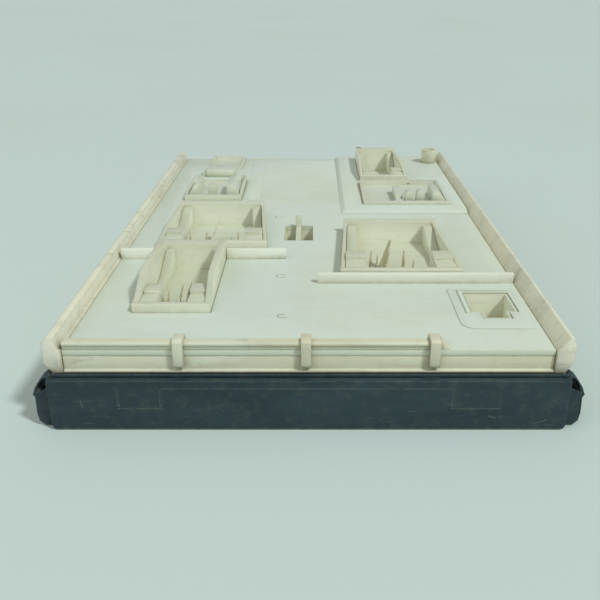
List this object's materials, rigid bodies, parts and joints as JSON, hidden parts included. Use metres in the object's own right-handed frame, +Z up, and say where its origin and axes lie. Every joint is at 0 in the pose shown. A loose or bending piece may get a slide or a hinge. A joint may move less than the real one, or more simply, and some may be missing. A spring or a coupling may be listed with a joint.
{
  "type": "tabletop terrain board",
  "caption": "Low walled terrain board for tabletop games, with sunken roofless rooms, low cross walls, side rails and a dark front bar that pulls off forwards.",
  "frame": {"origin": "centre of the bounding box at table level", "axes": "+X to the right, +Y from the front bar to the back edge, +Z up"},
  "size_m": [0.214, 0.3216, 0.043],
  "materials": {
    "deck": "smooth moulded plastic, pale and slightly cool",
    "ivory": "yellowed moulded plastic with handling grime",
    "room": "ivory moulded plastic with shade in the corners",
    "slate": "dark slate moulded plastic, fine texture with light scuffs"
  },
  "bodies": {
    "board": {"back_right_room_left_stair": "room", "back_right_room_right_stair": "room", "back_right_room_sill": "ivory", "back_right_room_walls": "room", "back_skirt": "ivory", "centre_clip_strap": "ivory", "centre_slots": "ivory", "corner_boss": "ivory", "corner_pocket_cup": "room", "corner_pocket_pad": "deck", "deck_plate": "deck", "front_kerb": "ivory", "front_left_room_fin_1": "room", "front_left_room_fin_2": "room", "front_left_room_left_stair": "room", "front_left_room_right_stair": "room", "front_left_room_sill": "ivory", "front_left_room_walls": "room", "front_skirt": "ivory", "front_wall": "ivory", "left_clip_strap": "ivory", "left_low_wall": "ivory", "left_side_rail": "ivory", "left_skirt": "ivory", "mid_left_room_fin_1": "room", "mid_left_room_fin_2": "room", "mid_left_room_fin_3": "room", "mid_left_room_left_stair": "room", "mid_left_room_right_stair": "room", "mid_left_room_sill": "ivory", "mid_left_room_walls": "room", "mid_right_room_fin_1": "room", "mid_right_room_fin_2": "room", "mid_right_room_fin_3": "room", "mid_right_room_fin_4": "room", "mid_right_room_left_stair": "room", "mid_right_room_right_stair": "room", "mid_right_room_sill": "ivory", "mid_right_room_walls": "room", "middle_low_wall": "ivory", "rear_court_cheek": "room", "rear_court_left_arch": "room", "rear_court_right_arch": "room", "rear_court_step": "room", "rear_court_walls": "room", "rear_terrace": "deck", "rear_yard_arch": "room", "rear_yard_block": "ivory", "rear_yard_left_cheek": "room", "rear_yard_right_cheek": "room", "rear_yard_tray": "ivory", "rear_yard_walls": "room", "right_clip_strap": "ivory", "right_low_wall": "ivory", "right_side_rail": "ivory", "right_skirt": "ivory"},
    "front_bar": {"front_bar_channel": "slate", "front_bar_face": "slate", "left_bar_ear": "slate", "right_bar_ear": "slate"}
  },
  "joints": [
    {"name": "front_bar_pull", "type": "slide", "parent": "board", "child": "front_bar", "axis": [0, -1, 0], "range_m": [0, 0.02]}
  ]
}
